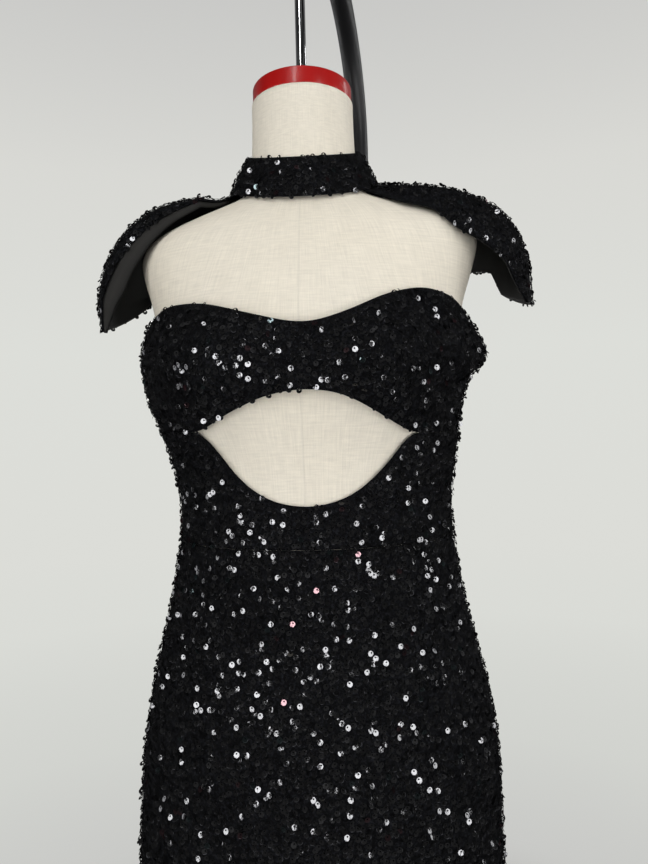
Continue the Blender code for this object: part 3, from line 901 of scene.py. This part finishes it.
class GOWN_OT_caps(bpy.types.Operator):
    """Lay the shoulder caps and their linings over the ribs that carry them"""
    bl_idname = "gown.caps"
    bl_label = "Sew the Shoulder Caps"

    def execute(self, context):
        chosen = context.scene.gown_cloth
        velvet = once("black velvet", velvet_finish)
        lining = once("black lining", lining_finish)
        depth = chosen.wall + LINING_GAP
        cuts = {cut["node"]: cut for cut in WING_CUTS}
        for side in ("left", "right"):
            node = "wing_" + side
            sheet = wing_sheet(side, node + "_cloth", 0, -1, 1, wing_point)
            sew_sequins(sheet, node)
            sewn_sheet(sheet, node, chosen.wall, velvet, "sequin_cloth", cuts[node])
            node = "wing_lining_" + side
            sheet = wing_sheet(side, node + "_cloth", LINING_START[side], FACING_START[side],
                               LINING_END, lambda *place: lining_point(*place, depth),
                               columns=96)
            sewn_sheet(sheet, node, chosen.lining_wall, lining, "black_lining", cuts[node])
        return {"FINISHED"}


# ---- sequins
SEQUIN_SIDES = 8
RIM_START = 0.98            # share of the radius past which a corner is on the sequin's rim
MOST_SEQUINS = 90000.0      # tries for each square metre, before the spacing thins them
STAND_SPREAD = (0.4, 1.6)   # least and most height over the velvet, as shares of the usual one
LEAN_LIFT = 0.3             # how far a leaning sequin is lifted, as a share of its radius
LEAST_CHANCE = 0.09         # keeps a lean under 2.2 times the usual tilt


def every_second(made, edge):
    """Every second edge round the sequin's hole, so that a square hole is left."""
    chosen = bpy.context.scene.gown_sequins
    ends = [made.data.vertices[end].co for end in edge.vertices]
    middle = (ends[0] + ends[1]) / 2 - Vector((0, chosen.hole_up, 0))
    if max(end.xy.length for end in ends) > 0.8 * chosen.radius:
        return False
    turned = math.degrees(math.atan2(middle.y, middle.x)) * SEQUIN_SIDES / 360
    return round(turned - 0.5) % 2 == 0


def one_sequin():
    """A dished disc with its hole above its middle, as the pattern for all of them."""
    made = bpy.data.objects.get("one_sequin")
    if made:
        return made
    chosen = bpy.context.scene.gown_sequins
    bpy.ops.mesh.primitive_circle_add(vertices=SEQUIN_SIDES, radius=chosen.radius,
                                      fill_type="NGON")
    made = named("one_sequin")
    with editing(made, "SELECT"):
        bpy.ops.mesh.inset(thickness=chosen.radius - chosen.hole)
        bpy.ops.transform.translate(value=(0, chosen.hole_up, -chosen.cup))
        bpy.ops.mesh.delete(type="FACE")
        pick(made, lambda edge: every_second(made, edge), "edges")
        bpy.ops.mesh.edge_collapse()
        bpy.ops.mesh.select_all(action="SELECT")
        bpy.ops.transform.translate(value=(0, -chosen.hole_up, chosen.cup))
    only(made)
    bpy.ops.object.shade_smooth()
    number(made, "rim", lambda corner: corner.co.xy.length > RIM_START * chosen.radius)
    return made


def sequin_graph(seed):
    """Sequins scattered over a sheet, each hung on its thread with its own turn and tilt."""
    chosen = bpy.context.scene.gown_sequins
    tree = bpy.data.node_groups.new("sewn sequins", "GeometryNodeTree")
    for way in ("INPUT", "OUTPUT"):
        tree.interface.new_socket("Geometry", in_out=way, socket_type="NodeSocketGeometry")

    def add(kind, values, out=0, **settings):
        return wire(tree, kind, values, **settings).outputs[out]

    def random(low, high, draw):
        return add("FunctionNodeRandomValue", {2: low, 3: high, "Seed": seed + draw}, 1,
                   data_type="FLOAT")

    def turn_about(axis, angle):
        return add("FunctionNodeAxisAngleToRotation", {"Axis": axis, "Angle": angle})

    def turned(rotation, by):
        return add("FunctionNodeRotateRotation", {"Rotation": rotation, "Rotate By": by},
                   rotation_space="LOCAL")

    cover = add("GeometryNodeInputNamedAttribute", {"Name": "cover"}, "Attribute",
                data_type="FLOAT")
    spread = wire(tree, "GeometryNodeDistributePointsOnFaces",
                  {"Mesh": tree.nodes.new("NodeGroupInput").outputs[0],
                   "Distance Min": chosen.spacing, "Density Max": MOST_SEQUINS,
                   "Density Factor": cover, "Seed": seed}, distribute_method="POISSON").outputs
    upright = add("FunctionNodeAlignRotationToVector", {"Vector": spread["Normal"]}, axis="Z")
    upright = add("FunctionNodeAlignRotationToVector",
                  {"Rotation": upright, "Vector": (0, 0, 1)}, axis="Y", pivot_axis="Z")
    hung = turned(upright, turn_about((0, 0, 1), random(-chosen.spin, chosen.spin, 1)))
    way = random(0.0, 2 * math.pi, 2)
    axis = add("ShaderNodeCombineXYZ", {"X": maths(tree, "COSINE", way),
                                        "Y": maths(tree, "SINE", way)})
    chance = maths(tree, "LOGARITHM", random(LEAST_CHANCE, 1.0, 3), math.e)
    loose = maths(tree, "LESS_THAN", random(0.0, 1.0, 6), chosen.loose)
    usual = maths(tree, "MULTIPLY", maths(tree, "ADD", loose, 1.0), chosen.tilt)
    lean = maths(tree, "SQRT", maths(tree, "MULTIPLY", chance, -2.0))
    lean = maths(tree, "MULTIPLY", lean, usual)
    leaning = turned(hung, turn_about(axis, lean))
    least, most = (chosen.stand * part for part in STAND_SPREAD)
    stand = maths(tree, "ADD", random(least, most, 4),
                  maths(tree, "MULTIPLY", lean, LEAN_LIFT * chosen.radius))
    lift = add("ShaderNodeVectorMath", {0: spread["Normal"], "Scale": stand},
               operation="SCALE")
    raised = add("GeometryNodeSetPosition", {"Geometry": spread["Points"], "Offset": lift})
    tinted = add("GeometryNodeStoreNamedAttribute",
                 {"Geometry": raised, "Name": "tint", "Value": random(0.0, 1.0, 5)},
                 data_type="FLOAT", domain="POINT")
    pattern = add("GeometryNodeObjectInfo", {"Object": one_sequin()}, "Geometry",
                  transform_space="ORIGINAL")
    placed = add("GeometryNodeInstanceOnPoints",
                 {"Points": tinted, "Instance": pattern, "Rotation": leaning})
    real = add("GeometryNodeRealizeInstances", {"Geometry": placed})
    tree.links.new(real, tree.nodes.new("NodeGroupOutput").inputs[0])
    return tree


SEQUINNED = [row["node"] for row in PANELS] + ["wing_left", "wing_right"]
# Share of the sequins that is left at a sheet's free edges. The other sheets keep them all.
EDGE_SHARE = dict(bust_band=0.3, midriff=0.4, bodice_back_right=0.4, bodice_back_left=0.4)
SEWN = 2.5 * MM             # an edge this near another piece is a seam, and no free edge
THIN_EDGE = 2.4 * MM        # how far in from a free edge the sequins thin out
# The right cap's facing shows as a bare strip: up to this place along its ribs, and this far out.
BARE_ALONG, BARE_REACH = -0.86, 118 * MM
SKIRT_SPLIT = 520 * MM      # height at which the skirt front's sequins part into two pieces


def sew_sequins(sheet, node):
    """Sew sequins over a sheet. The skirt's front has them in an upper and a lower piece."""
    edge = EDGE_SHARE.get(node, 1)
    cover = [min(1.0, edge + (1 - edge) * away / THIN_EDGE)
             for away in free_edge_distance(sheet, node)]
    if node == "wing_right":
        cover = [value * (along.value > BARE_ALONG or corner.co.x > BARE_REACH)
                 for value, along, corner in zip(cover, sheet.data.attributes["along"].data,
                                                 sheet.data.vertices)]
    number(sheet, "cover", lambda corner: cover[corner.index])
    finish = once("black sequins", sequin_finish)
    seed = bpy.context.scene.gown_sequins.seed + 10 * len(bpy.data.objects)
    for part, ending in enumerate(("_upper", "_lower") if node == "skirt_front" else ("",)):
        cloth = add_object(node + "_sequins" + ending, sheet.data.copy())
        if ending:
            with editing(cloth):
                pick(cloth, lambda face: (face.center.z > SKIRT_SPLIT) == bool(part))
                bpy.ops.mesh.delete(type="FACE")
        tree = sequin_graph(seed + part)
        finish_with(cloth, "NODES", node_group=tree)
        bpy.data.node_groups.remove(tree)
        settle(cloth, finish, "sequin_cloth")


# ---- the form and its stand
FORM_SEAMS = (0, 90, 180, 270)      # degrees round from centre front
NECK_SEAM = 1385 * MM               # the seams stop at this height
LINEN_GIRTH = 0.14                  # radius of the round that the linen's threads are laid on


class GOWN_OT_dress_form(bpy.types.Operator):
    """Cover the form's torso in linen, with its seams, and cap its neck"""
    bl_idname = "gown.dress_form"
    bl_label = "Make the Dress Form"

    def execute(self, context):
        torso = copied_solid("form_torso", "torso_linen")
        with editing(torso, "SELECT"):
            bpy.ops.mesh.tris_convert_to_quads(face_threshold=math.radians(40),
                                               shape_threshold=math.radians(90))
            pick(torso, lambda face: abs(face.normal.z) > 0.99)
            bpy.ops.mesh.region_to_loop()
            bpy.ops.transform.edge_crease(value=1.0)
        finish_with(torso, "SUBSURF", levels=2, render_levels=2)
        bpy.ops.object.shade_smooth()
        number(torso, "from_seam", self.from_seam)
        lay_cloth(torso)
        settle(torso, once("cream linen", linen_finish), "cream_linen", "form_torso")
        cap = cylinder("neck_cap", "neck_cap_lacquered", 96)
        finish_with(cap, "BEVEL", width=1.6 * MM, segments=4, limit_method="ANGLE")
        smooth(cap)
        settle(cap, once("red lacquer", lacquer_finish), "red_lacquer", "neck_cap")
        return {"FINISHED"}

    def from_seam(self, corner):
        """Seams run down the form's front, sides and back, and stop at its neck."""
        if corner.co.z > NECK_SEAM:
            return 1.0
        angle, reach = body_angle(corner.co), corner.co.xy.length
        return min(abs(math.radians(half_turn(angle - seam)) * reach) for seam in FORM_SEAMS)


def lay_cloth(piece):
    """Lay the linen's threads level and upright round the body, as a UV map in metres."""
    layer = piece.data.uv_layers.new(name="cloth")
    for face in piece.data.polygons:
        middle = body_angle(face.center)
        for loop in face.loop_indices:
            place = piece.data.vertices[piece.data.loops[loop].vertex_index].co
            angle = middle + half_turn(body_angle(place) - middle)
            layer.data[loop].uv = (math.radians(angle) * LINEN_GIRTH, place.z)


POLE_STEPS, BEND_STEPS = 6, 56


def tube_line():
    """Middle line of the stand's tube, from the pole's foot over to the form's rod."""
    level, radius = POLE_PLACE.normalized(), POLE_PLACE.length / 2
    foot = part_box("gooseneck")[0].z
    points = [POLE_PLACE + Vector((0, 0, foot + (BEND_START - foot) * step / POLE_STEPS))
              for step in range(POLE_STEPS)]
    top = BEND_START + radius
    for step in range(BEND_STEPS + 1):
        turned = math.pi * step / BEND_STEPS
        start = BEND_START if step < BEND_STEPS / 2 else TUBE_END + TUBE_MOUTH
        rise = start + (top - start) * math.sin(turned)
        points.append(level * radius * (1 + math.cos(turned)) + Vector((0, 0, rise)))
    return points + [Vector((0, 0, TUBE_END))]


class GOWN_OT_stand(bpy.types.Operator):
    """Bend the stand's tube and add its rod, coupling, socket and base"""
    bl_idname = "gown.stand"
    bl_label = "Make the Stand"

    def execute(self, context):
        steel = once("black lacquered steel", steel_finish)
        chrome = once("chrome", chrome_finish)
        line = bpy.data.curves.new("tube", "CURVE")
        line.dimensions = "3D"
        line.bevel_depth = TUBE_RADIUS
        line.bevel_resolution = 10
        line.use_fill_caps = True
        points = tube_line()
        spline = line.splines.new("POLY")
        spline.points.add(len(points) - 1)
        for knot, point in zip(spline.points, points):
            knot.co = (*point, 1)
        only(add_object("gooseneck_tube", line))
        bpy.ops.object.convert(target="MESH")
        tube = context.object
        join_doubles(tube)
        smooth(tube)
        settle(tube, steel, "black_steel", "gooseneck")

        self.turned_rod("hanging_rod", "rod_chrome", chrome, "chrome", 0.6)
        self.turned_rod("rod_coupling", "coupling_chrome", chrome, "chrome", 1.6)
        self.turned_rod("pole_socket", "pole_socket_steel", steel, "black_steel", 2.0)
        plate = copied_solid("base_plate", "base_plate_steel")
        with editing(plate, "SELECT"):
            bpy.ops.mesh.dissolve_limited(angle_limit=math.radians(2))
        self.round_off(plate, steel, "black_steel", "base_plate", 2)
        return {"FINISHED"}

    def turned_rod(self, node, name, finish, slot, rounding):
        """A turned piece as big as its solid. The socket has a hole for the tube."""
        piece = cylinder(node, name, 64)
        if node == "pole_socket":
            low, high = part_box(node)
            wall = (high.x - low.x) / 2 - TUBE_RADIUS - SOCKET_GAP
            with editing(piece):
                pick(piece, lambda face: abs(face.normal.z) > 0.9)
                bpy.ops.mesh.inset(thickness=wall)
                bpy.ops.mesh.bridge_edge_loops()
        self.round_off(piece, finish, slot, node, rounding)

    def round_off(self, piece, finish, slot, node, rounding):
        """Round a hard piece's sharp edges by so many millimetres."""
        finish_with(piece, "BEVEL", width=rounding * MM, segments=3, limit_method="ANGLE",
                    angle_limit=math.radians(50))
        smooth(piece)
        settle(piece, finish, slot, node)


# ---- the stage
# Tall lamps round the stand: degrees from the front, distance, height, width, length, radiance.
LAMPS = Table(
    "azimuth away height wide tall radiance",
    (-160, 2.2, 1.4, 0.16, 1.4, 10),
    (-128, 1.9, 1.5, 0.14, 1.2, 6),
    (-96, 1.9, 1.1, 0.14, 1.0, 6),
    (-56, 1.9, 0.9, 0.17, 1.2, 13),
    (-12, 1.9, 2.0, 0.16, 2.7, 16),
    (16, 1.9, 0.40, 0.14, 0.7, 15),
    (42, 1.9, 1.25, 0.18, 1.6, 13),
    (84, 1.9, 1.3, 0.15, 1.3, 9),
    (122, 1.9, 1.7, 0.14, 1.6, 8),
    (158, 2.2, 1.5, 0.16, 1.4, 10),
)
LAMP_AIM = Vector((0, 0, 1.1))
# Large soft lamps that light the cloth but are not mirrored in the sequins.
SOFT_LAMPS = Table("x y z wide radiance",
                   (0.5, -0.1, 2.9, 2.0, 0.75), (0.3, -2.1, 0.45, 1.1, 1.6))


class GOWN_OT_stage(bpy.types.Operator):
    """Lay a pale floor, hang soft lamps and set the camera"""
    bl_idname = "gown.stage"
    bl_label = "Set the Stage"

    def execute(self, context):
        chosen = context.scene.gown_stage
        bpy.ops.mesh.primitive_plane_add(size=2 * FLOOR_REACH)
        floor = named("studio_floor")
        floor.data.materials.append(once("pale floor", floor_finish))
        floor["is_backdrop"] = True
        for row in LAMPS:
            angle = math.radians(row["azimuth"])
            place = Vector((math.sin(angle), -math.cos(angle), 0)) * row["away"]
            place.z = row["height"]
            self.lamp("lamp at %d degrees" % row["azimuth"], place, row["wide"], row["tall"],
                      row["radiance"])
        for row in SOFT_LAMPS:
            soft = self.lamp("soft lamp", Vector((row["x"], row["y"], row["z"])), row["wide"],
                             row["wide"], row["radiance"])
            soft.visible_glossy = False
        context.scene.world = room_world()
        context.scene.view_settings.view_transform = "Standard"
        eye = bpy.data.cameras.new("photo camera")
        eye.lens = chosen.lens
        eye.sensor_width = 36
        eye.clip_start = 0.05
        camera = add_object("photo camera", eye)
        level = Matrix.Rotation(math.radians(90), 4, "X")
        heading = Matrix.Rotation(chosen.heading, 4, "Z")
        roll = Matrix.Rotation(-chosen.roll, 4, "Z")
        camera.matrix_world = Matrix.Translation(Vector(chosen.eye)) @ heading @ level @ roll
        context.scene.camera = camera
        return {"FINISHED"}

    def lamp(self, name, place, wide, tall, radiance):
        light = bpy.data.lights.new(name, "AREA")
        light.shape = "RECTANGLE"
        light.size, light.size_y = wide, tall
        light.energy = radiance * math.pi * wide * tall
        lamp = add_object(name, light)
        lamp.visible_camera = False
        lamp.location = place
        lamp.rotation_euler = (LAMP_AIM - place).to_track_quat("-Z", "Y").to_euler()
        return lamp


# ---- the add-on
class GOWN_PT_panel(bpy.types.Panel):
    """The gown's pieces, in the order in which they are made"""
    bl_idname = "GOWN_PT_panel"
    bl_label = "Mermaid Gown"
    bl_space_type = "VIEW_3D"
    bl_region_type = "UI"
    bl_category = "Gown"

    def draw(self, context):
        for group in ("gown_cloth", "gown_sequins", "dress_form", "gown_stage"):
            settings = getattr(context.scene, group)
            box = self.layout.box()
            for name in settings.__annotations__:
                box.prop(settings, name)
        for step in STEPS:
            self.layout.operator(step.bl_idname)


STEPS = (GOWN_OT_stage, GOWN_OT_dress_form, GOWN_OT_cloth, GOWN_OT_caps, GOWN_OT_stand)
GROUPS = dict(gown_cloth=GownClothSettings, gown_sequins=GownSequinSettings,
              dress_form=DressFormSettings, gown_stage=StageSettings)


def register():
    for group in GROUPS.values():
        bpy.utils.register_class(group)
    for name, group in GROUPS.items():
        setattr(bpy.types.Scene, name, PointerProperty(type=group))
    for step in STEPS + (GOWN_PT_panel,):
        bpy.utils.register_class(step)


def unregister():
    for step in STEPS + (GOWN_PT_panel,):
        bpy.utils.unregister_class(step)
    for name, group in GROUPS.items():
        delattr(bpy.types.Scene, name)
        bpy.utils.unregister_class(group)


def main():
    register()
    bpy.ops.gown.stage()
    bpy.ops.gown.dress_form()
    bpy.ops.gown.cloth()
    bpy.ops.gown.caps()
    bpy.ops.gown.stand()
    bpy.data.objects.remove(bpy.data.objects["one_sequin"])
    boxes = {"cad": [list(corner) for corner in SOLID_BOX],
             "visual": [list(corner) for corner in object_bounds()]}


if __name__ == "__main__":
    main()
